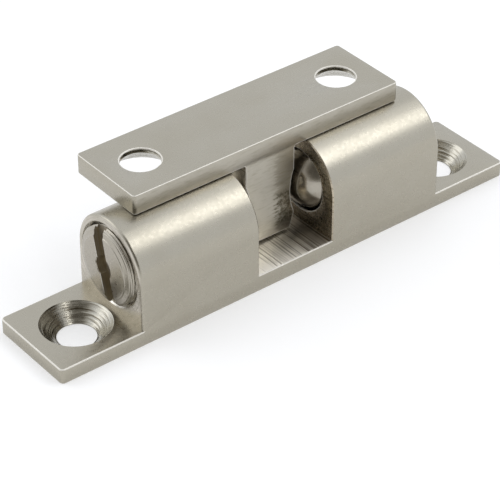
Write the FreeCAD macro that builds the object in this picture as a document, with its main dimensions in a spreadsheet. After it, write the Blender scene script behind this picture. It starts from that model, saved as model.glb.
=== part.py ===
import FreeCAD, Part
import Sketcher
import math
import os

# Double ball catch: a foot with two bored barrels, and a striker that two sprung balls hold.
# Origin: centre of the underside of the foot. X runs along the foot, Z points out of it.

doc = FreeCAD.newDocument("ball_catch")
sheet = doc.addObject("Spreadsheet::Sheet", "sizes")

SIZES = [
    # foot and barrels
    ("foot_length", 60.0, "foot, end to end"),
    ("bar_width", 11.0, "foot and barrels, front to back"),
    ("lug_thickness", 1.8, "screw lug at each end of the foot"),
    ("barrels_length", 40.0, "outer end of one barrel to outer end of the other"),
    ("bore_height", 7.1, "middle of the bores above the underside"),
    ("slot_width", 9.9, "gap between the barrels"),
    ("slot_floor", 2.0, "metal left under the slot"),
    ("foot_corner_radius", 0.5, "upright corners of the foot"),
    ("barrel_edge_radius", 0.35, "outer end edges of the barrels"),
    ("edge_break", 0.12, "filed edges of the foot, the slot and the plate"),
    # wood screw holes in the foot
    ("lug_hole_spacing", 48.8, "between the two holes of the foot"),
    ("lug_hole_radius", 2.1, "through hole"),
    ("lug_sink_radius", 3.85, "countersink at the surface"),
    ("sink_angle", 90.0, "included angle of every countersink"),
    # bore of a barrel, from the slot outwards
    ("mouth_radius", 3.67, "opening that keeps the ball in"),
    ("drill_point_angle", 118.0, "included angle of the cone behind the mouth"),
    ("mouth_lip", 0.25, "straight lip of the mouth"),
    ("ball_bore_radius", 4.08, "bore that the ball slides in"),
    ("thread_depth", 7.2, "tapped length, from the outer end"),
    ("thread_bore_radius", 4.45, "tapped bore"),
    ("bore_lead_in", 0.35, "chamfer at the outer end of the bore"),
    # adjusting screw
    ("screw_clearance", 0.06, "between the screw and the tapped bore"),
    ("screw_length", 4.4, "plug screw, end to end"),
    ("screw_stand_out", 0.8, "face of the screw beyond the end of the barrel, as it was left"),
    ("screw_face_radius", 3.7, "flat face of the screw"),
    ("screw_crown_depth", 1.2, "taper from the face to the thread"),
    ("screw_end_chamfer", 0.3, "inner edge of the screw"),
    ("screw_eye_radius", 1.25, "blind hole in the face of the screw"),
    ("screw_eye_depth", 1.15, "blind hole, down to its drill point"),
    ("driver_slot_width", 1.15, "driver slot"),
    ("driver_slot_depth", 1.0, "driver slot"),
    ("driver_slot_tilt_left", 13.5, "driver slot from upright, as the screw was left"),
    ("driver_slot_tilt_right", -34.0, "driver slot from upright, as the screw was left"),
    # ball and spring
    ("ball_radius", 4.0, "steel ball"),
    ("ball_clearance", 0.06, "between a ball and the flank of the tongue as stored"),
    ("spring_wire", 0.65, "wire of the spring"),
    ("spring_radius", 3.0, "spring axis to middle of the wire"),
    ("spring_turns", 4.0, "turns of the spring"),
    ("spring_clearance", 0.03, "between the spring and what it presses on"),
    # striker
    ("plate_length", 35.0, "striker plate"),
    ("plate_width", 10.0, "striker, front to back"),
    ("plate_thickness", 2.3, "striker plate"),
    ("plate_corner_radius", 0.4, "upright corners of the plate"),
    ("plate_hole_spacing", 26.0, "between the two holes of the plate"),
    ("plate_hole_radius", 2.15, "through hole"),
    ("plate_sink_radius", 3.9, "countersink on the underside"),
    ("plate_clearance", 0.05, "between the plate and the barrels as stored"),
    ("striker_set_back", 3.9, "striker behind the middle of the foot, as it was set down"),
    ("tongue_width", 6.5, "tongue, along the foot"),
    ("tongue_floor_gap", 0.3, "under the tongue with the plate on the barrels"),
    ("tongue_root_radius", 0.3, "inner corners between tongue and plate"),
    ("tongue_nose_width", 0.55, "taper at the end of the tongue"),
    ("groove_depth", 0.5, "ball groove in each flank"),
    ("groove_clearance", 3.5, "section of the ball groove over the ball"),
    ("groove_land", 0.3, "flat between the groove and the tapered nose"),
]
for row, (alias, value, meaning) in enumerate(SIZES, start=1):
    sheet.set("A%d" % row, alias)
    sheet.set("B%d" % row, repr(value))
    sheet.set("C%d" % row, meaning)
    sheet.setAlias("B%d" % row, alias)
doc.recompute()


NEAR = 0.001
OVER = 1.0


class Measure:
    """A size with its value now and the formula that ties it to the sheet."""

    def __init__(self, value, formula):
        self.value = value
        self.formula = formula

    def joined(self, sign, other, value):
        return Measure(value, "(%s %s %s)" % (self.formula, sign, measure(other).formula))

    def __add__(self, other):
        return self.joined("+", other, self.value + measure(other).value)

    def __sub__(self, other):
        return self.joined("-", other, self.value - measure(other).value)

    def __mul__(self, other):
        return self.joined("*", other, self.value * measure(other).value)

    def __truediv__(self, other):
        return self.joined("/", other, self.value / measure(other).value)

    def __neg__(self):
        return Measure(-self.value, "(0 - %s)" % self.formula)


def measure(thing):
    return thing if isinstance(thing, Measure) else Measure(float(thing), repr(float(thing)))


def root(inside):
    return Measure(math.sqrt(inside.value), "sqrt(%s)" % inside.formula)


def tangent(angle):
    return Measure(math.tan(math.radians(angle.value)), "tan(%s)" % angle.formula)


def size(alias):
    return Measure(float(getattr(sheet, alias)), "sizes." + alias)


def bind(thing, path, amount):
    thing.setExpression(path, measure(amount).formula)


def origin_feature(body, role):
    return next(f for f in body.Origin.OriginFeatures if f.Role == role)


def new_body(name):
    body = doc.addObject("PartDesign::Body", name)
    body.Label = name
    return body


def place(thing, x=0, y=0, z=0):
    for axis, amount in zip("xyz", (x, y, z)):
        bind(thing, "Placement.Base." + axis, amount)


def new_sketch(body, name, plane, raised=0, up=0):
    """A sketch on an origin plane, raised along its normal and shifted up in its own plane."""
    sketch = body.newObject("Sketcher::SketchObject", name)
    sketch.AttachmentSupport = [(origin_feature(body, plane), "")]
    sketch.MapMode = "FlatFace"
    bind(sketch, "AttachmentOffset.Base.z", raised)
    bind(sketch, "AttachmentOffset.Base.y", up)
    return sketch


def constrain(sketch, kind, places, amount):
    number = sketch.addConstraint(Sketcher.Constraint(kind, *places, measure(amount).value))
    sketch.setExpression("Constraints[%d]" % number, measure(amount).formula)


def pin_down(sketch, edge, end, x, y):
    constrain(sketch, "DistanceX", (-1, 1, edge, end), x)
    constrain(sketch, "DistanceY", (-1, 1, edge, end), y)


def draw_outline(sketch, corners, arcs=None):
    """Close the corners with lines. arcs maps a corner's number to the radius of an arc that
    leaves it instead; a positive radius turns left on its way to the next corner. A half
    circle is held by the height of its centre, since its ends already give its radius."""
    arcs = arcs or {}
    half_circles = set()
    points = [FreeCAD.Vector(measure(x).value, measure(y).value) for x, y in corners]
    edges = []
    for number, start in enumerate(points):
        stop = points[(number + 1) % len(points)]
        if number not in arcs:
            edges.append((sketch.addGeometry(Part.LineSegment(start, stop)), 1, 2))
            continue
        radius = measure(arcs[number]).value
        chord = stop - start
        side = FreeCAD.Vector(-chord.y, chord.x).normalize()
        offset = math.sqrt(max(radius ** 2 - (chord.Length / 2) ** 2, 0.0))
        if offset < NEAR:
            half_circles.add(number)
        centre = (start + stop) / 2 + side * math.copysign(offset, radius)
        from_angle = math.atan2(start.y - centre.y, start.x - centre.x)
        to_angle = math.atan2(stop.y - centre.y, stop.x - centre.x)
        circle = Part.Circle(centre, FreeCAD.Vector(0, 0, 1), abs(radius))
        if radius > 0:
            arc = Part.ArcOfCircle(circle, from_angle, to_angle)
            edges.append((sketch.addGeometry(arc), 1, 2))
        else:
            arc = Part.ArcOfCircle(circle, to_angle, from_angle)
            edges.append((sketch.addGeometry(arc), 2, 1))
    for number, (edge, start, stop) in enumerate(edges):
        following, its_start, its_stop = edges[(number + 1) % len(edges)]
        sketch.addConstraint(Sketcher.Constraint("Coincident", edge, stop, following, its_start))
    for number, (edge, start, stop) in enumerate(edges):
        pin_down(sketch, edge, start, *corners[number])
        if number in half_circles:
            constrain(sketch, "DistanceY", (-1, 1, edge, 3), corners[number][1])
        elif number in arcs:
            radius = measure(arcs[number])
            constrain(sketch, "Radius", (edge,), radius if radius.value > 0 else -radius)


def draw_box(sketch, left, right, bottom, top):
    draw_outline(sketch, [(left, bottom), (right, bottom), (right, top), (left, top)])


def draw_circle(sketch, x, y, radius):
    middle = FreeCAD.Vector(measure(x).value, measure(y).value)
    circle = Part.Circle(middle, FreeCAD.Vector(0, 0, 1), measure(radius).value)
    edge = sketch.addGeometry(circle)
    pin_down(sketch, edge, 3, x, y)
    constrain(sketch, "Radius", (edge,), radius)


def cut_through(body, name, sketch):
    pocket = body.newObject("PartDesign::Pocket", name)
    pocket.Profile = sketch
    pocket.SideType = "Symmetric"
    pocket.Type = "ThroughAll"
    return pocket


def sink_holes(body, name, sketch, hole_radius, sink_radius, upwards=False):
    doc.recompute()
    hole = body.newObject("PartDesign::Hole", name)
    hole.Profile = sketch
    hole.DepthType = "ThroughAll"
    hole.HoleCutType = "Countersink"
    hole.Reversed = upwards
    bind(hole, "Diameter", hole_radius * 2)
    bind(hole, "HoleCutDiameter", sink_radius * 2)
    bind(hole, "HoleCutCountersinkAngle", size("sink_angle"))
    return hole


def soften(body, kind, name, amount, wanted):
    """Fillet or chamfer the edges of the body's last feature that wanted picks by their box."""
    doc.recompute()
    last = body.Tip
    names = ["Edge%d" % (number + 1) for number, edge in enumerate(last.Shape.Edges)
             if wanted(edge.BoundBox)]
    feature = body.newObject("PartDesign::" + kind, name)
    feature.Base = (last, names)
    bind(feature, "Radius" if kind == "Fillet" else "Size", amount)
    return feature


def lies_at(low, high, place):
    return abs(abs(low) - place) < NEAR and abs(abs(high) - place) < NEAR and low * high > 0


bar_half = size("bar_width") / 2
foot_half = size("foot_length") / 2
barrels_half = size("barrels_length") / 2
slot_half = size("slot_width") / 2
bar_top = size("bore_height") + bar_half


def build_catch_body():
    """Drawn bar with a round top, milled down to the two lugs, slotted, bored and tapped."""
    body = new_body("catch_body")

    section = new_sketch(body, "bar_section", "YZ_Plane")
    draw_outline(section, [(-bar_half, 0), (bar_half, 0),
                           (bar_half, size("bore_height")), (-bar_half, size("bore_height"))],
                 arcs={2: bar_half})
    bar = body.newObject("PartDesign::Pad", "bar")
    bar.Profile = section
    bar.SideType = "Symmetric"
    bind(bar, "Length", size("foot_length"))

    ends = new_sketch(body, "milled_ends", "XZ_Plane")
    draw_box(ends, barrels_half, foot_half + OVER, size("lug_thickness"), bar_top + OVER)
    draw_box(ends, -foot_half - OVER, -barrels_half, size("lug_thickness"), bar_top + OVER)
    cut_through(body, "lugs", ends)

    gap = new_sketch(body, "slot_section", "XZ_Plane")
    draw_box(gap, -slot_half, slot_half, size("slot_floor"), bar_top + OVER)
    cut_through(body, "slot", gap)

    mouth_end = slot_half + size("mouth_lip")
    cone_length = (size("ball_bore_radius") - size("mouth_radius")) / tangent(
        size("drill_point_angle") / 2)
    lead_radius = size("thread_bore_radius") + size("bore_lead_in")
    thread_start = barrels_half - size("thread_depth")
    bore_section = new_sketch(body, "bore_section", "XZ_Plane", up=size("bore_height"))
    draw_outline(bore_section, [
        (slot_half - OVER, 0),
        (barrels_half + OVER, 0),
        (barrels_half + OVER, lead_radius),
        (barrels_half, lead_radius),
        (barrels_half - size("bore_lead_in"), size("thread_bore_radius")),
        (thread_start, size("thread_bore_radius")),
        (thread_start, size("ball_bore_radius")),
        (mouth_end + cone_length, size("ball_bore_radius")),
        (mouth_end, size("mouth_radius")),
        (slot_half - OVER, size("mouth_radius")),
    ])
    bore = body.newObject("PartDesign::Groove", "bore_right")
    bore.Profile = bore_section
    bore.ReferenceAxis = (bore_section, ["H_Axis"])
    bore.Angle = 360
    both_bores = body.newObject("PartDesign::Mirrored", "bore_left")
    both_bores.Originals = [bore]
    both_bores.MirrorPlane = (origin_feature(body, "YZ_Plane"), [""])
    body.Tip = both_bores

    lug_holes = new_sketch(body, "lug_hole_places", "XY_Plane", raised=size("lug_thickness"))
    for direction in (-1, 1):
        draw_circle(lug_holes, size("lug_hole_spacing") / 2 * direction, 0, size("lug_hole_radius"))
    sink_holes(body, "lug_holes", lug_holes, size("lug_hole_radius"), size("lug_sink_radius"))

    width = bar_half.value
    soften(body, "Fillet", "foot_corners", size("foot_corner_radius"),
           lambda box: lies_at(box.XMin, box.XMax, foot_half.value)
           and lies_at(box.YMin, box.YMax, width))
    soften(body, "Fillet", "barrel_ends", size("barrel_edge_radius"),
           lambda box: lies_at(box.XMin, box.XMax, barrels_half.value)
           and box.ZLength > NEAR and max(-box.YMin, box.YMax) > width - NEAR)
    soften(body, "Chamfer", "slot_edges", size("edge_break"),
           lambda box: lies_at(box.XMin, box.XMax, slot_half.value)
           and box.ZLength > NEAR and max(-box.YMin, box.YMax) > width - NEAR)
    return body


def build_striker():
    """Plate and tongue in one piece; the tongue has a tapered nose and a groove for each ball."""
    body = new_body("striker")
    plate_half = size("plate_length") / 2
    tongue_half = size("tongue_width") / 2
    nose_half = tongue_half - size("tongue_nose_width")
    tongue_end = size("slot_floor") + size("tongue_floor_gap") - bar_top
    groove_middle = -bar_half - size("plate_clearance")
    groove_radius = size("ball_radius") + size("groove_clearance")
    groove_half = root(size("groove_depth") * (groove_radius * 2 - size("groove_depth")))
    nose_top = groove_middle - groove_half - size("groove_land")

    section = new_sketch(body, "striker_section", "XZ_Plane")
    draw_outline(section, [
        (-nose_half, tongue_end),
        (nose_half, tongue_end),
        (tongue_half, nose_top),
        (tongue_half, groove_middle - groove_half),
        (tongue_half, groove_middle + groove_half),
        (tongue_half, 0),
        (plate_half, 0),
        (plate_half, size("plate_thickness")),
        (-plate_half, size("plate_thickness")),
        (-plate_half, 0),
        (-tongue_half, 0),
        (-tongue_half, groove_middle + groove_half),
        (-tongue_half, groove_middle - groove_half),
        (-tongue_half, nose_top),
    ], arcs={3: -groove_radius, 11: -groove_radius})
    blank = body.newObject("PartDesign::Pad", "striker_blank")
    blank.Profile = section
    blank.SideType = "Symmetric"
    bind(blank, "Length", size("plate_width"))

    places = new_sketch(body, "plate_hole_places", "XY_Plane")
    for direction in (-1, 1):
        draw_circle(places, size("plate_hole_spacing") / 2 * direction, 0, size("plate_hole_radius"))
    sink_holes(body, "plate_holes", places, size("plate_hole_radius"), size("plate_sink_radius"),
               upwards=True)

    depth = (size("plate_width") / 2).value
    thickness = size("plate_thickness").value
    soften(body, "Fillet", "tongue_roots", size("tongue_root_radius"),
           lambda box: lies_at(box.XMin, box.XMax, tongue_half.value)
           and box.ZMin > -NEAR and box.ZMax < NEAR)
    soften(body, "Fillet", "plate_corners", size("plate_corner_radius"),
           lambda box: lies_at(box.XMin, box.XMax, plate_half.value)
           and lies_at(box.YMin, box.YMax, depth))
    soften(body, "Fillet", "plate_rim", size("edge_break"),
           lambda box: box.ZMin > thickness - NEAR
           and (max(-box.YMin, box.YMax) > depth - NEAR
                or max(-box.XMin, box.XMax) > plate_half.value - NEAR))
    place(body, y=size("striker_set_back"), z=bar_top + size("plate_clearance"))
    return body


def build_ball(side, direction):
    ball = doc.addObject("Part::Sphere", "ball_" + side)
    ball.Label = "ball_" + side
    bind(ball, "Radius", size("ball_radius"))
    place(ball, x=ball_distance * direction, z=size("bore_height"))
    return ball


def build_spring(side, direction):
    """Open coil between the ball and the inner face of the adjusting screw."""
    body = new_body("spring_" + side)
    body.Placement.Rotation = FreeCAD.Rotation(FreeCAD.Vector(0, 1, 0), 90 * direction)
    wire = new_sketch(body, "wire_" + side, "XZ_Plane")
    draw_circle(wire, size("spring_radius"), 0, size("spring_wire") / 2)
    coil = body.newObject("PartDesign::AdditiveHelix", "coil_" + side)
    coil.Profile = wire
    coil.ReferenceAxis = (wire, ["V_Axis"])
    coil.Mode = "height-turns-angle"
    bind(coil, "Height", spring_end - spring_start)
    bind(coil, "Turns", size("spring_turns"))
    place(body, x=spring_start * direction, z=size("bore_height"))
    return body


def build_adjusting_screw(side, direction):
    """Plug screw: turned disc with a tapered crown, a drilled eye and a driver slot."""
    body = new_body("adjusting_screw_" + side)
    body.Placement.Rotation = FreeCAD.Rotation(FreeCAD.Vector(0, 0, 1), 0 if direction > 0 else 180)
    chamfer = size("screw_end_chamfer")
    section = new_sketch(body, "screw_section_" + side, "XZ_Plane")
    eye_point = size("screw_eye_radius") / tangent(size("drill_point_angle") / 2)
    draw_outline(section, [
        (-size("screw_length"), 0),
        (-size("screw_eye_depth") - eye_point, 0),
        (-size("screw_eye_depth"), size("screw_eye_radius")),
        (0, size("screw_eye_radius")),
        (0, size("screw_face_radius")),
        (-size("screw_crown_depth"), screw_radius),
        (chamfer - size("screw_length"), screw_radius),
        (-size("screw_length"), screw_radius - chamfer),
    ])
    turned = body.newObject("PartDesign::Revolution", "turned_" + side)
    turned.Profile = section
    turned.ReferenceAxis = (section, ["H_Axis"])
    turned.Angle = 360

    slot = new_sketch(body, "driver_slot_section_" + side, "YZ_Plane")
    slot.AttachmentOffset.Rotation = FreeCAD.Rotation(FreeCAD.Vector(0, 0, 1), 1)
    bind(slot, "AttachmentOffset.Rotation.Angle", size("driver_slot_tilt_" + side))
    half = size("driver_slot_width") / 2
    draw_box(slot, -half, half, -screw_radius - OVER, screw_radius + OVER)
    cut = body.newObject("PartDesign::Pocket", "driver_slot_" + side)
    cut.Profile = slot
    bind(cut, "Length", size("driver_slot_depth"))
    place(body, x=screw_face * direction, z=size("bore_height"))
    return body


ball_distance = size("tongue_width") / 2 + size("ball_clearance") + size("ball_radius")
screw_radius = size("thread_bore_radius") - size("screw_clearance")
screw_face = barrels_half + size("screw_stand_out")
wire_half = size("spring_wire") / 2
wire_reach = size("ball_radius") + wire_half + size("spring_clearance")
spring_start = ball_distance + root(
    wire_reach * wire_reach - size("spring_radius") * size("spring_radius"))
spring_end = screw_face - size("screw_length") - wire_half - size("spring_clearance")

pieces = [build_catch_body(), build_striker()]
for side, direction in (("left", -1), ("right", 1)):
    pieces.append(build_ball(side, direction))
    pieces.append(build_spring(side, direction))
    pieces.append(build_adjusting_screw(side, direction))
doc.recompute()

for thing in doc.Objects:
    if "Invalid" in thing.State or "Error" in thing.State:
        raise RuntimeError("%s did not recompute" % thing.Name)
for piece in pieces:
    if piece.Shape.isNull() or not piece.Shape.isValid() or len(piece.Shape.Solids) != 1:
        raise RuntimeError("%s is not one valid solid" % piece.Label)

os.makedirs("parts", exist_ok=True)
for piece in pieces:
    piece.Shape.exportStep("parts/%s.step" % piece.Label)
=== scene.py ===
"""Double ball catch in satin nickel, dressed over its CAD frame."""

import math

import bmesh
import bpy
import numpy as np
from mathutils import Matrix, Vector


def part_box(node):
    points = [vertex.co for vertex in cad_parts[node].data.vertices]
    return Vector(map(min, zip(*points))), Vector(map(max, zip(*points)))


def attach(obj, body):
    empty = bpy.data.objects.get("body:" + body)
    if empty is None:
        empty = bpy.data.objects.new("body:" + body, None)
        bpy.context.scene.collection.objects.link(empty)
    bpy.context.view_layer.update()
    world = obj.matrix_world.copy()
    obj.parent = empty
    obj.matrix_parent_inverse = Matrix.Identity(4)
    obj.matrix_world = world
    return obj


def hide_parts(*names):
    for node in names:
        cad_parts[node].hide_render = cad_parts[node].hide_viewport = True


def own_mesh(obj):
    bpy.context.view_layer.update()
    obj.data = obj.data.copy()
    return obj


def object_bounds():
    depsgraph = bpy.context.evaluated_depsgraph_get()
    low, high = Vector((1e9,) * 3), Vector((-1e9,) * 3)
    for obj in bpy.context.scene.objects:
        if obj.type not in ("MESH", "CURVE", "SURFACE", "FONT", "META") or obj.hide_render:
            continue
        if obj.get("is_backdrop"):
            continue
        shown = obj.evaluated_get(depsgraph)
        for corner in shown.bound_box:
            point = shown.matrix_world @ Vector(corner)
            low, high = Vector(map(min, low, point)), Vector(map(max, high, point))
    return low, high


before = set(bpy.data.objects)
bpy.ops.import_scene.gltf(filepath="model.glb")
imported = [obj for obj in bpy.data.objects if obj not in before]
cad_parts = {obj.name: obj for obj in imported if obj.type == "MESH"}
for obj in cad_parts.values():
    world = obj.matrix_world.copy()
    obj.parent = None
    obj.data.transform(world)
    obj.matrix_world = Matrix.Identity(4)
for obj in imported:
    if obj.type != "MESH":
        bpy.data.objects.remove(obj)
cad_low, cad_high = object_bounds()

# ---- Catch body -----------------------------------------------------------
# One length of drawn brass section: a flat foot with a round-topped bar. Its
# ends are milled down to two lugs, a slot is milled across the middle and a
# bore drilled from each end; then it is tumbled and plated in satin nickel.

MM = 0.001
SLOT_HALF = 4.95 * MM
SLOT_FLOOR = 2.0 * MM
MOUTH_LIP = 0.25 * MM
BARREL_HALF = 20.0 * MM
BORE_HEIGHT = 7.1 * MM
BORE_REACH = 4.9 * MM
LUG_TOP = 1.8 * MM
LUG_HOLE_X = 24.4 * MM
SINK_REACH = 3.95 * MM
BODY_EASE = 0.13 * MM
WELD = 0.001 * MM
ON_PLANE = 0.05 * MM
SINK_INSET = 0.02 * MM
FLAT_TURN = math.radians(0.3)
SMOOTH_TURN = math.radians(25)
SQUARE_TURN = math.radians(50)
SATIN_TONE = (0.408, 0.383, 0.320)
SATIN_TONE_DULL = (0.394, 0.368, 0.304)
SINK_TONE = (0.46, 0.44, 0.38)
SINK_TONE_DARK = (0.13, 0.11, 0.075)
# Partly painted light: the milled tone is far lighter than the outer plating's, to lift
# the shade in the slot and the bores.
MILLED_TONE_WITH_PAINTED_LIGHT = (0.95, 0.91, 0.82)
MILLED_TONE_DARK = (0.20, 0.165, 0.115)
WALL_TONE = (0.52, 0.46, 0.36)
WALL_TONE_DARK = (0.30, 0.255, 0.185)
# Painted shade: the dark tone mixed into the slot's floor and walls where less light
# falls.
PAINTED_SHADE_TONE = (0.11, 0.085, 0.058)
# Partly painted light: the sawn ends are lighter than the outer plating, to lift the shade
# on them and by them.
SAWN_TONE_WITH_PAINTED_LIGHT = (0.60, 0.56, 0.50)
# Rubbed edges: real rubbing, with a near-white tone as a painted highlight.
RUBBED_HIGHLIGHT_TONE = (0.80, 0.77, 0.70)
SINK_RINGS = 6500.0
SAWN_RINGS = 5000.0
RING_DRIFT = (300.0, 300.0, 300.0)
UPRIGHT = (0.0, math.radians(90), 0.0)
LENGTHWISE = (0.0, 0.0, 0.0)


def shader_group(name, inputs, outputs):
    """Empty node group with those number, colour or vector inputs and outputs."""
    group = bpy.data.node_groups.new(name, "ShaderNodeTree")
    for in_out, sockets in (("INPUT", inputs), ("OUTPUT", outputs)):
        for socket, kind, value in sockets:
            made = group.interface.new_socket(
                name=socket, in_out=in_out, socket_type="NodeSocket" + kind
            )
            if value is not None:
                made.default_value = value
    given = group.nodes.new("NodeGroupInput").outputs
    result = group.nodes.new("NodeGroupOutput").inputs
    return group, given, result


def node(tree, kind, settings=None, **sockets):
    """Node of that kind. A socket goes by its name, or as _6 by its place, and takes
    a plain value or another node's output."""
    made = tree.nodes.new("ShaderNode" + kind)
    for setting, value in (settings or {}).items():
        setattr(made, setting, value)
    for socket, value in sockets.items():
        by_place = socket[1:].isdigit()
        place = made.inputs[int(socket[1:]) if by_place else socket.replace("_", " ")]
        if isinstance(value, bpy.types.NodeSocket):
            tree.links.new(value, place)
        else:
            place.default_value = value
    return made


def tone(colour):
    """The colour with an alpha of one."""
    return (*colour, 1.0)


def calc(tree, operation, first, second):
    """Result of one operation on two numbers."""
    made = node(tree, "Math", {"operation": operation}, _0=first, _1=second)
    return made.outputs["Value"]


def between(tree, operation, first, second):
    """Outputs that hold the result of one operation on two vectors."""
    return node(tree, "VectorMath", {"operation": operation}, _0=first, _1=second).outputs


def ramp(tree, value, start, end, low=0.0, high=1.0, kind="LINEAR"):
    """Low where the value is at its start, high at its end, and held beyond both."""
    made = node(
        tree, "MapRange", {"interpolation_type": kind}, Value=value, From_Min=start,
        From_Max=end, To_Min=low, To_Max=high,
    )
    return made.outputs["Result"]


def blend(tree, share, first, second):
    """Colour that goes from the first to the second by the share."""
    made = node(tree, "Mix", {"data_type": "RGBA"}, _0=share, _6=first, _7=second)
    return made.outputs["Result"]


def noise(tree, place, scale, detail, roughness):
    """Cloud noise read at the place."""
    made = node(
        tree, "TexNoise", Vector=place, Scale=scale, Detail=detail, Roughness=roughness
    )
    return made.outputs["Fac"]


def satin_group():
    """Plating: cloud noise picks between two tones, finer noise shifts the roughness,
    and the sum of the two finest gives the grain."""
    group, given, result = shader_group(
        "satin_plating",
        (
            ("Tone", "Color", tone(SATIN_TONE)),
            ("Dull tone", "Color", tone(SATIN_TONE_DULL)),
            ("Roughness", "Float", 0.3),
        ),
        (
            ("Colour", "Color", None),
            ("Roughness", "Float", None),
            ("Height", "Float", None),
        ),
    )
    place = node(group, "TexCoord").outputs["Object"]
    clouds = noise(group, place, scale=260.0, detail=5.0, roughness=0.6)
    specks = noise(group, place, scale=2600.0, detail=3.0, roughness=0.55)
    grain = noise(group, place, scale=9000.0, detail=2.0, roughness=0.5)
    share = ramp(group, clouds, 0.35, 0.68)
    colour = blend(group, share, given["Tone"], given["Dull tone"])
    drift = ramp(group, specks, 0.3, 0.7, low=-0.05, high=0.05)
    rough = calc(group, "ADD", given["Roughness"], drift)
    group.links.new(colour, result["Colour"])
    group.links.new(rough, result["Roughness"])
    group.links.new(calc(group, "ADD", grain, specks), result["Height"])
    return group


def lines_group():
    """Cutter marks: noise stretched along one axis, as height and as dark lines."""
    group, given, result = shader_group(
        "cutter_marks",
        (
            ("Place", "Vector", None),
            ("Lines per metre", "Vector", (6000.0, 120.0, 6000.0)),
        ),
        (("Height", "Float", None), ("Dark", "Float", None)),
    )
    stretched = between(group, "MULTIPLY", given["Place"], given["Lines per metre"])
    marks = noise(group, stretched["Vector"], scale=1.0, detail=3.0, roughness=0.6)
    group.links.new(marks, result["Height"])
    group.links.new(ramp(group, marks, 0.5, 0.68), result["Dark"])
    return group


def rings_group():
    """Turning marks: noise read along the distance from the local X axis, so that it
    repeats round it, with a slow drift round the circle."""
    group, given, result = shader_group(
        "turning_marks",
        (("Place", "Vector", None), ("Rings per metre", "Float", 7000.0)),
        (("Height", "Float", None), ("Dark", "Float", None)),
    )
    flat = between(group, "MULTIPLY", given["Place"], (0.0, 1.0, 1.0))["Vector"]
    reach = node(group, "VectorMath", {"operation": "LENGTH"}, _0=flat).outputs["Value"]
    count = calc(group, "MULTIPLY", reach, given["Rings per metre"])
    drift = between(group, "MULTIPLY", flat, RING_DRIFT)["Vector"]
    spot = node(group, "CombineXYZ", X=count).outputs["Vector"]
    joined = between(group, "ADD", spot, drift)["Vector"]
    marks = noise(group, joined, scale=1.0, detail=2.0, roughness=0.5)
    group.links.new(marks, result["Height"])
    group.links.new(ramp(group, marks, 0.5, 0.7), result["Dark"])
    return group


def painted_shade_group():
    """Painted shade in a corner: a share that grows with the distance along one direction.
    """
    group, given, result = shader_group(
        "painted_corner_shade",
        (
            ("Place", "Vector", None),
            ("Direction", "Vector", (1.0, 0.0, 0.0)),
            ("Start", "Float", 0.0),
            ("End", "Float", MM),
            ("Most", "Float", 0.5),
        ),
        (("Dark", "Float", None),),
    )
    along = between(group, "DOT_PRODUCT", given["Place"], given["Direction"])["Value"]
    share = ramp(
        group, along, given["Start"], given["End"], high=given["Most"], kind="SMOOTHSTEP"
    )
    group.links.new(share, result["Dark"])
    return group


satin_plating = satin_group()
cutter_marks = lines_group()
turning_marks = rings_group()
painted_corner_shade = painted_shade_group()


def placed(tree, group, **sockets):
    """The group in a material, with this material's own values."""
    return node(tree, "Group", {"node_tree": group}, **sockets).outputs


def metal(
    name, tones, roughness, grain, marks=None, mark_depth=0.0, dark_tone=None,
    metallic=1.0,
):
    """Metal whose tone, roughness and relief come from the plating group, with cutter
    or turning marks laid over it. marks takes the node tree and gives a placed group."""
    material = bpy.data.materials.new(name)
    material.use_nodes = True
    tree = material.node_tree
    shader = tree.nodes["Principled BSDF"].inputs
    shader["Metallic"].default_value = metallic
    plating = placed(
        tree, satin_plating, Tone=tone(tones[0]), Dull_tone=tone(tones[1]),
        Roughness=roughness,
    )
    colour = plating["Colour"]
    bump = node(tree, "Bump", Height=plating["Height"], Strength=1.0, Distance=grain)
    if marks:
        cut = marks(tree)
        colour = blend(tree, cut["Dark"], colour, tone(dark_tone))
        bump = node(
            tree, "Bump", Height=cut["Height"], Strength=1.0, Distance=mark_depth,
            Normal=bump.outputs["Normal"],
        )
    tree.links.new(colour, shader["Base Color"])
    tree.links.new(plating["Roughness"], shader["Roughness"])
    tree.links.new(bump.outputs["Normal"], shader["Normal"])
    return material


def darken(material, group, dark_tone, **sockets):
    """Mixes the dark tone into a material's colour by the mask that the group gives."""
    tree = material.node_tree
    place = node(tree, "TexCoord").outputs["Object"]
    mask = placed(tree, group, Place=place, **sockets)["Dark"]
    base = tree.nodes["Principled BSDF"].inputs["Base Color"]
    tree.links.new(blend(tree, mask, base.links[0].from_socket, tone(dark_tone)), base)


def across(*lines):
    """Straight cutter marks, that many to the metre along each axis."""

    def marks(tree):
        place = node(tree, "TexCoord").outputs["Object"]
        return placed(tree, cutter_marks, Place=place, Lines_per_metre=lines)

    return marks


def around(x, y, z, turn, rings):
    """Turning marks round an axis through that point, turned from X by those angles."""

    def marks(tree):
        place = node(tree, "TexCoord").outputs["Object"]
        centred = node(
            tree, "Mapping", {"vector_type": "TEXTURE"}, Vector=place,
            Location=(x, y, z), Rotation=turn,
        ).outputs["Vector"]
        return placed(tree, turning_marks, Place=centred, Rings_per_metre=rings)

    return marks


def turned_sink(name, x, y):
    """Bright turned rings of a countersink round its hole's upright axis."""
    return metal(
        name, (SINK_TONE, SINK_TONE), roughness=0.24, grain=0.001 * MM,
        marks=around(x, y, 0.0, UPRIGHT, SINK_RINGS), mark_depth=0.06 * MM,
        dark_tone=SINK_TONE_DARK,
    )


def put_in_scene(name, data):
    """Object of that mesh, lamp or camera, linked to the scene."""
    made = bpy.data.objects.new(name, data)
    bpy.context.scene.collection.objects.link(made)
    return made


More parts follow.
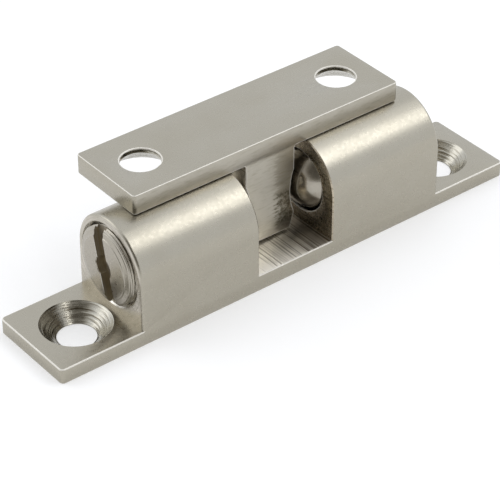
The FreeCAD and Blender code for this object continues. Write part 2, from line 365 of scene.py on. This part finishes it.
def eased_copy(cad_node, name, ease, finish_of):
    """The solid's own surface, welded, with a small rounding on each square outer edge.
    finish_of takes the triangles' middles and normals and gives each one's finish; the
    rounding has the rubbed finish with its painted highlight, which comes after the last
    of them."""
    solid = bmesh.new()
    solid.from_mesh(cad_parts[cad_node].data)
    bmesh.ops.remove_doubles(solid, verts=solid.verts, dist=WELD)
    mesh = bpy.data.meshes.new(name)
    solid.to_mesh(mesh)
    solid.free()
    count = len(mesh.polygons)
    middles, normals = np.zeros(count * 3), np.zeros(count * 3)
    mesh.polygons.foreach_get("center", middles)
    mesh.polygons.foreach_get("normal", normals)
    finish = finish_of(middles.reshape(-1, 3), normals.reshape(-1, 3)).astype(np.int32)
    mesh.materials.clear()
    for _ in range(finish.max() + 1):
        mesh.materials.append(None)
    mesh.polygons.foreach_set("material_index", finish)
    flats = bmesh.new()
    flats.from_mesh(mesh)
    bmesh.ops.dissolve_limit(
        flats, angle_limit=FLAT_TURN, verts=flats.verts, edges=flats.edges,
        delimit={"MATERIAL"},
    )
    flats.normal_update()
    square = flats.edges.layers.float.new("bevel_weight_edge")
    for edge in flats.edges:
        turn = edge.calc_face_angle_signed(0.0)
        edge[square] = float(turn > SQUARE_TURN)
        edge.smooth = turn > SQUARE_TURN or abs(turn) < SMOOTH_TURN
    flats.to_mesh(mesh)
    flats.free()
    mesh.polygons.foreach_set("use_smooth", np.ones(len(mesh.polygons), bool))
    piece = put_in_scene(name, mesh)
    rounding = piece.modifiers.new("eased_edges", "BEVEL")
    rounding.width = ease
    rounding.segments = 2
    rounding.limit_method = "WEIGHT"
    rounding.harden_normals = True
    rounding.use_clamp_overlap = False
    rounding.material = finish.max() + 1
    mesh.materials.append(rubbed_highlight)
    return piece


def body_finish(middle, normal):
    """0 tumbled outside, 1 milled slot, 2 turned left sink, 3 turned right sink,
    4 drilled bores, 5 sawn barrel ends, 6 slot walls."""
    x, y, z = np.abs(middle[:, 0]), middle[:, 1], middle[:, 2]
    finish = np.zeros(len(middle), int)
    finish[(np.abs(x - BARREL_HALF) < ON_PLANE) & (z > LUG_TOP)] = 5
    in_bore = np.hypot(y, z - BORE_HEIGHT) < BORE_REACH
    finish[in_bore & (x > SLOT_HALF) & (x < BARREL_HALF)] = 4
    in_slot = (x < SLOT_HALF + MOUTH_LIP) & (z > SLOT_FLOOR - ON_PLANE)
    finish[in_slot & (normal[:, 2] > 0.9)] = 1
    finish[in_slot & (x > SLOT_HALF - ON_PLANE)] = 6
    in_sink = np.hypot(x - LUG_HOLE_X, y) < SINK_REACH
    in_sink &= (z > SINK_INSET) & (z < LUG_TOP - SINK_INSET)
    finish[in_sink & (middle[:, 0] < 0)] = 2
    finish[in_sink & (middle[:, 0] > 0)] = 3
    return finish


satin = metal(
    "satin_nickel", (SATIN_TONE, SATIN_TONE_DULL), roughness=0.3, grain=0.0005 * MM
)
# Painted highlight: the rubbed edges are near white and partly diffuse, so that they read
# as bright lines.
rubbed_highlight = metal(
    "rubbed_edge_painted_highlight", (RUBBED_HIGHLIGHT_TONE, RUBBED_HIGHLIGHT_TONE), roughness=0.5, grain=0.0009 * MM,
    metallic=0.3,
)
# The slot's light milled tone is partly painted light, lifting its shade.
milled = metal(
    "milled_slot", (MILLED_TONE_WITH_PAINTED_LIGHT, MILLED_TONE_WITH_PAINTED_LIGHT), roughness=0.36, grain=0.001 * MM,
    marks=across(4600.0, 60.0, 4600.0), mark_depth=0.03 * MM, dark_tone=MILLED_TONE_DARK,
)
# Painted shade: the milled faces darken towards +X, over the right half of the slot floor.
darken(milled, painted_corner_shade, PAINTED_SHADE_TONE, Start=0.8 * MM, End=3.6 * MM, Most=0.55)
left_sink = turned_sink("turned_sink_left", -LUG_HOLE_X, 0.0)
right_sink = turned_sink("turned_sink_right", LUG_HOLE_X, 0.0)
bored = metal(
    "drilled_bore", (MILLED_TONE_WITH_PAINTED_LIGHT, SATIN_TONE_DULL), roughness=0.28, grain=0.003 * MM,
    marks=across(8000.0, 60.0, 60.0), mark_depth=0.02 * MM, dark_tone=MILLED_TONE_DARK,
)
sawn = metal(
    "sawn_end", (SAWN_TONE_WITH_PAINTED_LIGHT, SATIN_TONE), roughness=0.3, grain=0.004 * MM,
    marks=around(0.0, 0.0, BORE_HEIGHT, LENGTHWISE, SAWN_RINGS), mark_depth=0.01 * MM,
    dark_tone=SATIN_TONE_DULL,
)
wall = metal(
    "milled_wall", (WALL_TONE, WALL_TONE), roughness=0.26, grain=0.001 * MM,
    marks=across(60.0, 60.0, 4200.0), mark_depth=0.01 * MM, dark_tone=WALL_TONE_DARK,
)
# Painted shade: the slot walls darken towards the bottom.
darken(
    wall, painted_corner_shade, PAINTED_SHADE_TONE, Direction=(0.0, 0.0, -1.0), Start=-8.5 * MM,
    End=-3.5 * MM, Most=0.22,
)

body = eased_copy("catch_body", "catch_body_dressed", BODY_EASE, body_finish)
body_metals = (satin, milled, left_sink, right_sink, bored, sawn, wall)
for index, material in enumerate(body_metals):
    body.data.materials[index] = material
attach(body, "catch")
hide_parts("catch_body")

# ---- Springs --------------------------------------------------------------
# One compression spring behind each ball, coiled from drawn steel wire with
# its end turns closed and ground flat; it seats on the screw's inner face.

WIRE_RADIUS = 0.325 * MM
COIL_RADIUS = 2.98 * MM
SPRING_TURNS = 5.5
CLOSED_SHARE = 0.17
CLOSED_RISE = 0.105
GROUND_SHARE = 0.35
SPRING_STEPS = 420
WIRE_STEPS = 20
EASING_STEPS = 20
WIRE_TONE = (0.33, 0.32, 0.30)


def skin(name, rings, ends):
    """Closed mesh over an array of rings by points by three: quads join each ring to
    the next, a fan closes the first ring on the first end point, and another the last
    ring on the last."""
    count, round_ring = rings.shape[:2]
    here = np.arange(count * round_ring).reshape(count, round_ring)
    beside = np.roll(here, -1, axis=1)
    quads = np.stack((here[:-1], beside[:-1], beside[1:], here[1:]), axis=-1)
    first, last = count * round_ring, count * round_ring + 1
    faces = quads.reshape(-1, 4).tolist()
    faces += np.stack((beside[0], here[0], np.full(round_ring, first)), -1).tolist()
    faces += np.stack((here[-1], beside[-1], np.full(round_ring, last)), -1).tolist()
    points = np.vstack((rings.reshape(-1, 3), ends))
    mesh = bpy.data.meshes.new(name)
    mesh.from_pydata(points.tolist(), [], faces)
    mesh.polygons.foreach_set("use_smooth", np.ones(len(faces), bool))
    return put_in_scene(name, mesh)


def spring_rings(low, high):
    """Wire section carried along a helix round X. Its centre advances by a smoothed
    bent line over the turned angle, so that the end turns lie closed, and every point
    is held between the two ground faces."""
    share = np.linspace(0.0, 1.0, SPRING_STEPS)
    risen = np.interp(
        share, (0.0, CLOSED_SHARE, 1.0 - CLOSED_SHARE, 1.0),
        (0.0, CLOSED_RISE, 1.0 - CLOSED_RISE, 1.0),
    )
    window = np.ones(2 * EASING_STEPS + 1) / (2 * EASING_STEPS + 1)
    eased = np.convolve(np.pad(risen, EASING_STEPS, "edge"), window, "valid")
    inset = WIRE_RADIUS * GROUND_SHARE
    along = low + inset + eased * (high - low - 2 * inset)
    angle = share * SPRING_TURNS * 2 * np.pi
    out = np.stack((np.zeros_like(angle), np.cos(angle), np.sin(angle)), -1)
    section = np.linspace(0.0, 2 * np.pi, WIRE_STEPS, endpoint=False)
    rings = np.cos(section)[None, :, None] * out[:, None, :] * WIRE_RADIUS
    rings = rings + COIL_RADIUS * out[:, None, :]
    rings[:, :, 0] += np.sin(section)[None, :] * WIRE_RADIUS + along[:, None]
    rings[:, :, 0] = np.clip(rings[:, :, 0], low, high)
    rings[:, :, 2] += BORE_HEIGHT
    return rings[:, ::-1]


wire = metal(
    "drawn_wire", (WIRE_TONE, WIRE_TONE), roughness=0.3, grain=0.002 * MM,
    marks=across(60.0, 9000.0, 9000.0), mark_depth=0.004 * MM, dark_tone=WIRE_TONE,
)
for side in ("left", "right"):
    low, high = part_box("spring_" + side)
    rings = spring_rings(low.x, high.x)
    spring = skin("spring_" + side + "_coils", rings, rings[[0, -1]].mean(axis=1))
    spring.data.materials.append(wire)
    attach(spring, "spring_" + side)
    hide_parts("spring_" + side)
    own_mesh(spring)

# ---- Balls ----------------------------------------------------------------
# Two polished hard steel balls. Each looks out of its barrel through a mouth
# a little smaller than itself, and holds the striker's tongue by its groove.

BALL_TONE = (0.42, 0.395, 0.34)
BALL_RUB_TONE = (0.32, 0.29, 0.24)
BALL_CIRCLES = 96
BALL_STEPS = 128


def ball_rings(centre, radius):
    """Circles of latitude round X: radius times the cosine and sine of even steps."""
    rise = np.linspace(-np.pi / 2, np.pi / 2, BALL_CIRCLES + 2)[1:-1]
    turn = np.linspace(0.0, 2 * np.pi, BALL_STEPS, endpoint=False)
    along = np.repeat(np.sin(rise)[:, None], BALL_STEPS, axis=1)
    y = np.outer(np.cos(rise), np.cos(turn))
    z = np.outer(np.cos(rise), np.sin(turn))
    return centre + radius * np.stack((along, y, z), -1)


polished = metal(
    "polished_ball", (BALL_TONE, BALL_RUB_TONE), roughness=0.2, grain=0.0006 * MM,
    marks=across(900.0, 900.0, 900.0), mark_depth=0.002 * MM, dark_tone=BALL_RUB_TONE,
)
for side in ("left", "right"):
    low, high = (np.array(corner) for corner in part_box("ball_" + side))
    middle, radius = (low + high) / 2, (high[0] - low[0]) / 2
    reach = np.array((radius, 0.0, 0.0))
    ball = skin(
        "ball_" + side + "_polished", ball_rings(middle, radius),
        np.array((middle - reach, middle + reach)),
    )
    ball.data.materials.append(polished)
    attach(ball, "ball_" + side)
    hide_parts("ball_" + side)

# ---- Plug screws ----------------------------------------------------------
# A brass disc turned with a fine thread and a tapered crown, then drilled with
# a blind eye and sawn with a driver slot across its face. It closes the outer
# end of its barrel, and turning it in or out sets the force of the ball.

SCREW_LENGTH = 4.4 * MM
FACE_RADIUS = 3.6 * MM
FACE_DOME = 0.06 * MM
FACE_EASE = 0.08 * MM
CROWN_DEPTH = 0.5 * MM
CROWN_BULGE = 0.62
CROWN_RIPPLE = 0.05 * MM
RIPPLE_PITCH = 0.275 * MM
EYE_RADIUS = 1.25 * MM
EYE_DEPTH = 0.94 * MM
EYE_POINT = 0.04 * MM
EYE_INSET = 0.1 * MM
EYE_MARGIN = 0.005 * MM
END_CHAMFER = 0.3 * MM
PIN_HOLE = 0.001 * MM
HAIR = 0.0001 * MM
THREAD_PITCH = 0.5 * MM
THREAD_DEPTH = 0.22 * MM
THREAD_STEEPNESS = 2.6
THREAD_FLAT = 0.15
THREAD_START = 0.4 * THREAD_PITCH
THREAD_STOP = 0.9 * THREAD_PITCH
SCREW_STEPS = 168
DRIVER_SLOT_WIDTH = 1.62 * MM
DRIVER_SLOT_DEPTH = 1.0 * MM
DRIVER_SLOT_EASE = 0.06 * MM
BLADE_REACH = 6.0 * MM
SHARP_TURN = math.radians(34)
SLOT_TILT = {"left": math.radians(13.5), "right": math.radians(-34.0)}
SCREW_RINGS = 6000.0
CROWN_TONE = (0.40, 0.37, 0.32)
SLOT_TONE = (0.36, 0.31, 0.22)


def run(*stops):
    """Straight runs through the stops (depth, radius, steps), as one array of points."""
    pieces = [
        np.linspace(a[:2], b[:2], b[2], endpoint=False) for a, b in zip(stops, stops[1:])
    ]
    return np.vstack(pieces)


def screw_profile(thread_radius):
    """Depth and radius from the middle of the inner end to the middle of the drilled
    eye, with the rim of the face at zero. The face falls by the square of the share of
    its width, and two straight runs make the bulge of the crown."""
    face = np.linspace(EYE_RADIUS + FACE_EASE, FACE_RADIUS - 2 * FACE_EASE, 16)
    drop = FACE_DOME * ((face - face[0]) / (face[-1] - face[0])) ** 2
    face_stops = [(-down, out, 1) for down, out in zip(drop[1:], face[1:])]
    bulge = FACE_RADIUS + (thread_radius - FACE_RADIUS) * CROWN_BULGE
    return run(
        (-EYE_DEPTH - EYE_POINT, PIN_HOLE, 0),
        (-EYE_DEPTH, EYE_RADIUS, 8),
        (-FACE_EASE, EYE_RADIUS, 6),
        (0.0, EYE_RADIUS + FACE_EASE, 1),
        *face_stops,
        (-0.4 * FACE_EASE - FACE_DOME, FACE_RADIUS - FACE_EASE, 2),
        (-1.2 * FACE_EASE - FACE_DOME, FACE_RADIUS - 0.3 * FACE_EASE, 2),
        (-(CROWN_DEPTH + FACE_DOME) / 2, bulge, 16),
        (-CROWN_DEPTH, thread_radius, 16),
        (-SCREW_LENGTH + END_CHAMFER, thread_radius, 150),
        (-SCREW_LENGTH, thread_radius - END_CHAMFER, 4),
        (-SCREW_LENGTH, PIN_HOLE, 12),
    )[::-1]


def screw_rings(thread_radius):
    """Profile turned round X. The crown's radius ripples by the squared sine of the
    depth, and where it is threaded, the radius is cut by a flat-topped triangle wave of
    the depth plus the turned share of a pitch."""
    profile = screw_profile(thread_radius)
    depth, radius = profile[:, :1], profile[:, 1:]
    turn = np.linspace(0.0, 2 * np.pi, SCREW_STEPS, endpoint=False)[None, :]
    phase = (depth / THREAD_PITCH + turn / (2 * np.pi)) % 1.0
    wave = np.clip(np.abs(phase - 0.5) * THREAD_STEEPNESS - THREAD_FLAT, 0.0, 1.0)
    start = np.clip((-CROWN_DEPTH - depth) / THREAD_START, 0.0, 1.0)
    stop = np.clip((depth + SCREW_LENGTH) / THREAD_STOP, 0.0, 1.0)
    threaded = np.where(radius > thread_radius - HAIR, start * stop, 0.0)
    on_crown = np.clip((radius - FACE_RADIUS) / (0.2 * MM), 0.0, 1.0)
    on_crown = np.where(threaded > 0, 0.0, on_crown)
    ripple = np.sin(depth * 2 * np.pi / RIPPLE_PITCH) ** 2
    radius = radius - THREAD_DEPTH * wave * threaded - CROWN_RIPPLE * on_crown * ripple
    return np.stack(
        (depth + 0 * turn, radius * np.cos(turn), radius * np.sin(turn)), -1
    )


def saw_blade(name, tilt):
    """Blade across the face, flared at the mouth, turned from upright by the tilt: its
    section at one end, then the same at the other. The flare has the second material."""
    half = DRIVER_SLOT_WIDTH / 2
    flared = half + DRIVER_SLOT_EASE + MM
    section = np.array((
        (-DRIVER_SLOT_DEPTH, half), (-DRIVER_SLOT_EASE, half), (MM, flared),
        (MM, -flared), (-DRIVER_SLOT_EASE, -half), (-DRIVER_SLOT_DEPTH, -half),
    ))
    depth, y = np.tile(section.T, 2)
    z = np.repeat((-BLADE_REACH, BLADE_REACH), 6)
    across_y = y * math.cos(tilt) + z * math.sin(tilt)
    up = z * math.cos(tilt) - y * math.sin(tilt)
    sides = [(i + 6, (i + 1) % 6 + 6, (i + 1) % 6, i) for i in range(6)]
    mesh = bpy.data.meshes.new(name)
    mesh.from_pydata(
        np.stack((depth, across_y, up), -1).tolist(), [],
        sides + [(0, 1, 2, 3, 4, 5), (11, 10, 9, 8, 7, 6)],
    )
    mesh.polygons.foreach_set("material_index", (0, 1, 0, 1, 0, 0, 0, 0))
    return put_in_scene(name, mesh)


turned = metal(
    "turned_screw", (SATIN_TONE, CROWN_TONE), roughness=0.3, grain=0.001 * MM,
    marks=around(0.0, 0.0, BORE_HEIGHT, LENGTHWISE, SCREW_RINGS), mark_depth=0.012 * MM,
    dark_tone=CROWN_TONE,
)
sawn_brass = metal(
    "sawn_driver_slot", (SLOT_TONE, SLOT_TONE), roughness=0.5, grain=0.002 * MM,
    marks=across(9000.0, 300.0, 300.0), mark_depth=0.01 * MM, dark_tone=CROWN_TONE,
)
for side, outwards in (("left", -1.0), ("right", 1.0)):
    low, high = (np.array(corner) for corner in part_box("adjusting_screw_" + side))
    thread_radius = (high[1] - low[1]) / 2
    tips = np.array([(-SCREW_LENGTH, 0.0, 0.0), (-EYE_DEPTH - EYE_POINT, 0.0, 0.0)])
    screw = skin("adjusting_screw_" + side + "_turned", screw_rings(thread_radius), tips)
    screw.data.materials.append(turned)
    blade = saw_blade("saw_" + side, outwards * SLOT_TILT[side])
    blade.data.materials.append(sawn_brass)
    # The flare takes the rubbed edge with its painted highlight.
    blade.data.materials.append(rubbed_highlight)
    cut = screw.modifiers.new("driver_slot", "BOOLEAN")
    cut.object, cut.solver, cut.material_mode = blade, "EXACT", "TRANSFER"
    bpy.context.view_layer.update()
    sawn_mesh = bpy.data.meshes.new_from_object(
        screw.evaluated_get(bpy.context.evaluated_depsgraph_get())
    )
    screw.modifiers.clear()
    screw.data = sawn_mesh
    bpy.data.objects.remove(blade)
    middles = np.zeros(len(sawn_mesh.polygons) * 3)
    sawn_mesh.polygons.foreach_get("center", middles)
    depth, y, z = middles.reshape(-1, 3).T
    in_eye = np.hypot(y, z) < EYE_RADIUS + EYE_MARGIN
    in_eye &= (depth < -EYE_INSET) & (depth > -DRIVER_SLOT_DEPTH)
    finish = np.zeros(len(sawn_mesh.polygons), np.int32)
    sawn_mesh.polygons.foreach_get("material_index", finish)
    sawn_finish = list(sawn_mesh.materials).index(sawn_brass)
    sawn_mesh.polygons.foreach_set("material_index", np.where(in_eye, sawn_finish, finish))
    points = np.zeros(len(sawn_mesh.vertices) * 3)
    sawn_mesh.vertices.foreach_get("co", points)
    points = points.reshape(-1, 3) * (outwards, outwards, 1.0)
    points += (high[0] if outwards > 0 else low[0], 0.0, BORE_HEIGHT)
    sawn_mesh.vertices.foreach_set("co", points.ravel())
    sawn_mesh.set_sharp_from_angle(angle=SHARP_TURN)
    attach(screw, "screw_" + side)
    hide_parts("adjusting_screw_" + side)

# ---- Striker --------------------------------------------------------------
# One T of brass: a plate for the door, with a tongue under its middle. Both
# were drawn as one section and milled square; two countersunk holes are drilled
# from the tongue's side, then it is plated like the body.

STRIKER_EASE = 0.14 * MM
PLATE_UNDERSIDE = 12.65 * MM
PLATE_HOLE_X = 13.0 * MM
SET_BACK = 3.9 * MM
FILED_DEPTH = 0.1 * MM
TONGUE_TOP = PLATE_UNDERSIDE - 0.3 * MM
FLANK_START = 0.6 * MM
FLANK_FADE = 0.4 * MM
FLANK_END = 2.6 * MM
FLANK_END_FADE = 1.2 * MM
RAGGED_REACH = 0.55 * MM
STREAKS = (300.0, 300.0, 5200.0)
PLATE_SHADE_REACH = 0.6 * MM
PLATE_SHADE = 0.28
SHADE_BY_BALL_REACH = 0.8 * MM
SHADE_BY_BALL = 0.62
# Partly painted light: the milled fronts are lighter than the top's plating, to lift their
# shade.
FRONT_TONE_WITH_PAINTED_LIGHT = (0.465, 0.438, 0.375)
# Painted shade and reflection on the tongue's front, under the plate and by the ball.
FLANK_SHADE_TONE = (0.10, 0.085, 0.05)


def striker_finish(middle, normal):
    """0 drawn top, ends and underside, 1 milled front and back, 2 turned left sink, 3
    turned right sink, 4 milled tongue, 5 filed edges of the plate, rubbed and given a
    painted highlight."""
    x, y, z = middle[:, 0], middle[:, 1], middle[:, 2]
    slope = np.abs(normal[:, 2])
    finish = np.zeros(len(middle), int)
    finish[np.abs(normal[:, 1]) > 0.98] = 1
    finish[(z > PLATE_UNDERSIDE - FILED_DEPTH) & (slope > 0.4) & (slope < 0.95)] = 5
    reach = np.hypot(np.abs(x) - PLATE_HOLE_X, y - SET_BACK)
    in_sink = (reach < SINK_REACH) & (slope < 0.98) & (z > PLATE_UNDERSIDE)
    finish[in_sink & (x < 0)] = 2
    finish[in_sink & (x > 0)] = 3
    finish[(z < TONGUE_TOP) & (np.abs(normal[:, 1]) < 0.98)] = 4
    return finish


def painted_flank_shade_group():
    """Painted shade and reflection on the tongue's flank: a dark share that starts at an
    upright line, which noise makes ragged, with painted shade under the plate, and is
    strongest, in blotches, from the ball's height down."""
    group, given, result = shader_group(
        "painted_flank_shade", (("Place", "Vector", None),), (("Dark", "Float", None),)
    )
    spot = node(group, "SeparateXYZ", Vector=given["Place"]).outputs
    streaks = between(group, "MULTIPLY", given["Place"], STREAKS)["Vector"]
    ragged = noise(group, streaks, scale=1.0, detail=2.0, roughness=0.6)
    shift = ramp(group, ragged, 0.3, 0.7, low=-RAGGED_REACH, high=RAGGED_REACH)
    along = calc(group, "ADD", spot["X"], shift)
    started = ramp(group, along, FLANK_START, FLANK_START + FLANK_FADE)
    ended = ramp(group, spot["Z"], FLANK_END, FLANK_END + FLANK_END_FADE)
    by_plate = ramp(
        group, spot["Z"], PLATE_UNDERSIDE, PLATE_UNDERSIDE - PLATE_SHADE_REACH,
        high=PLATE_SHADE,
    )
    by_ball = ramp(
        group, spot["Z"], BORE_HEIGHT + SHADE_BY_BALL_REACH, BORE_HEIGHT,
        high=SHADE_BY_BALL,
    )
    blotches = noise(group, given["Place"], scale=2600.0, detail=3.0, roughness=0.7)
    by_ball = calc(group, "MULTIPLY", by_ball, ramp(group, blotches, 0.38, 0.6))
    share = calc(group, "ADD", by_plate, by_ball)
    share = calc(group, "MULTIPLY", share, started)
    group.links.new(calc(group, "MULTIPLY", share, ended), result["Dark"])
    return group


front = metal(
    "milled_front", (FRONT_TONE_WITH_PAINTED_LIGHT, FRONT_TONE_WITH_PAINTED_LIGHT), roughness=0.36, grain=0.002 * MM,
    marks=across(700.0, 700.0, 4800.0), mark_depth=0.012 * MM, dark_tone=SATIN_TONE_DULL,
)
# Painted shade and reflection darken the tongue's front flank.
darken(front, painted_flank_shade_group(), FLANK_SHADE_TONE)
left_plate_sink = turned_sink("turned_plate_sink_left", -PLATE_HOLE_X, SET_BACK)
right_plate_sink = turned_sink("turned_plate_sink_right", PLATE_HOLE_X, SET_BACK)

striker = eased_copy("striker", "striker_dressed", STRIKER_EASE, striker_finish)
striker_metals = (satin, front, left_plate_sink, right_plate_sink, milled, rubbed_highlight)
for index, material in enumerate(striker_metals):
    striker.data.materials[index] = material
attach(striker, "striker")
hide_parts("striker")

# ---- Floor, light and camera ---------------------------------------------
# A plain white sheet in a bright, even room that is darker on the side of the
# camera, with soft lamps in front, to the right in front, above, and behind on
# the left.

FLOOR_HALF = 3.0
FLOOR_TONE = (0.62, 0.62, 0.62)
FLOOR_GLOW = 0.43
ROOM_LIGHT = 1.04
ROOM_TONE = (0.975, 1.0, 1.05)
UNLIT_SIDE_TONE = (1.0, 0.92, 0.78)
UNLIT_SIDE = (-0.50, -0.62, 0.60)
UNLIT_SIDE_EDGE = (0.62, 0.94)
UNLIT_SIDE_LIGHT = 0.15
LAMP_DISTANCE = 0.8
AIM = (-4.626 * MM, -3.480 * MM, 4.014 * MM)
CAMERA_TURN = math.radians(-38.435)
CAMERA_RISE = math.radians(35.96)
CAMERA_DISTANCE = 232.5 * MM
LENS = 160.3

corners = np.array([(-1, -1, 0), (1, -1, 0), (1, 1, 0), (-1, 1, 0)]) * FLOOR_HALF
floor_mesh = bpy.data.meshes.new("floor")
floor_mesh.from_pydata(corners.tolist(), [], [(0, 1, 2, 3)])
floor = put_in_scene("floor", floor_mesh)
floor.location.z = cad_low.z
paper = bpy.data.materials.new("floor_paper")
paper.use_nodes = True
sheet = paper.node_tree.nodes["Principled BSDF"].inputs
sheet["Base Color"].default_value = tone(FLOOR_TONE)
sheet["Roughness"].default_value = 0.9
sheet["Specular IOR Level"].default_value = 0.0
sheet["Emission Color"].default_value = (1.0, 1.0, 1.0, 1.0)
ray = node(paper.node_tree, "LightPath").outputs
seen = calc(paper.node_tree, "MAXIMUM", ray["Is Camera Ray"], ray["Is Glossy Ray"])
seen = calc(paper.node_tree, "MAXIMUM", seen, ray["Is Transmission Ray"])
glow = calc(paper.node_tree, "MULTIPLY", seen, FLOOR_GLOW)
paper.node_tree.links.new(glow, sheet["Emission Strength"])
floor_mesh.materials.append(paper)
floor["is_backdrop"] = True

world = bpy.data.worlds.new("room")
world.use_nodes = True
room = world.node_tree
direction = node(room, "TexCoord").outputs["Generated"]
facing = between(room, "DOT_PRODUCT", direction, UNLIT_SIDE)["Value"]
light = ramp(
    room, facing, *UNLIT_SIDE_EDGE, low=ROOM_LIGHT, high=UNLIT_SIDE_LIGHT,
    kind="SMOOTHSTEP",
)
tint = blend(room, light, tone(UNLIT_SIDE_TONE), tone(ROOM_TONE))
room.links.new(light, room.nodes["Background"].inputs["Strength"])
room.links.new(tint, room.nodes["Background"].inputs["Color"])
bpy.context.scene.world = world


def stand_off(thing, turn, rise, distance, aim=(0.0, 0.0, 0.0)):
    """Stands a lamp or camera off the aim at that compass turn and rise, facing it."""
    away = np.array(
        (math.sin(turn) * math.cos(rise), -math.cos(turn) * math.cos(rise), math.sin(rise))
    )
    thing.location = np.array(aim) + away * distance
    thing.rotation_euler = (math.pi / 2 - rise, 0.0, turn)


def soft_lamp(name, turn, rise, size, power):
    """Square lamp off the catch at that compass turn and rise in degrees, facing it."""
    light = bpy.data.lights.new(name, "AREA")
    light.size = size
    light.energy = power
    lamp = put_in_scene(name, light)
    stand_off(lamp, math.radians(turn), math.radians(rise), LAMP_DISTANCE)


soft_lamp("front_lamp", turn=52, rise=48, size=0.36, power=0.86)
soft_lamp("top_lamp", turn=84, rise=60, size=0.34, power=0.2)
soft_lamp("streak_lamp", turn=1, rise=51, size=0.14, power=0.3)
soft_lamp("back_lamp", turn=-141, rise=36, size=0.5, power=0.8)

lens = bpy.data.cameras.new("camera")
lens.lens = LENS
lens.sensor_width = 36.0
lens.clip_start = 0.01
camera = put_in_scene("camera", lens)
stand_off(camera, CAMERA_TURN, CAMERA_RISE, CAMERA_DISTANCE, AIM)
bpy.context.scene.camera = camera
bpy.context.scene.view_settings.view_transform = "Standard"

# ---- Bounds ---------------------------------------------------------------

low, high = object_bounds()
